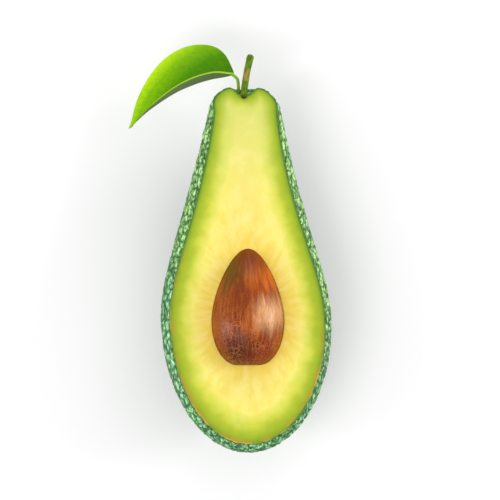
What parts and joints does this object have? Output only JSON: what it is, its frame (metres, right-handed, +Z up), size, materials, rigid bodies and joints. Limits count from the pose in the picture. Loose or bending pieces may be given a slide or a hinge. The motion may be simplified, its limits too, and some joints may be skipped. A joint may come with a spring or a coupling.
{
  "type": "avocado half",
  "caption": "Half of a long-necked avocado lying on its back with the cut face up: pebbled green peel, yellow-green flesh, brown seed, woody stem and one folded leaf.",
  "frame": {"origin": "middle of the small flat spot on the back of the peel that the fruit rests on", "axes": "+Z up, away from the table; +Y along the fruit from the blossom end to the stem end, level with the table; +X to the right when the cut face is seen from above with the stem end at the top, so the leaf is on the -X side"},
  "size_m": [0.0824, 0.1641, 0.0518],
  "materials": {
    "peel": "glossy, pebbled",
    "flesh": "moist, smooth from the knife",
    "seed": "smooth, slightly moist",
    "stem": "dry, finely ridged",
    "leaf": "waxy, satin"
  },
  "bodies": {
    "root": {"peel": "peel", "flesh": "flesh", "seed": "seed", "stem": "stem", "leaf": "leaf"}
  },
  "joints": []
}
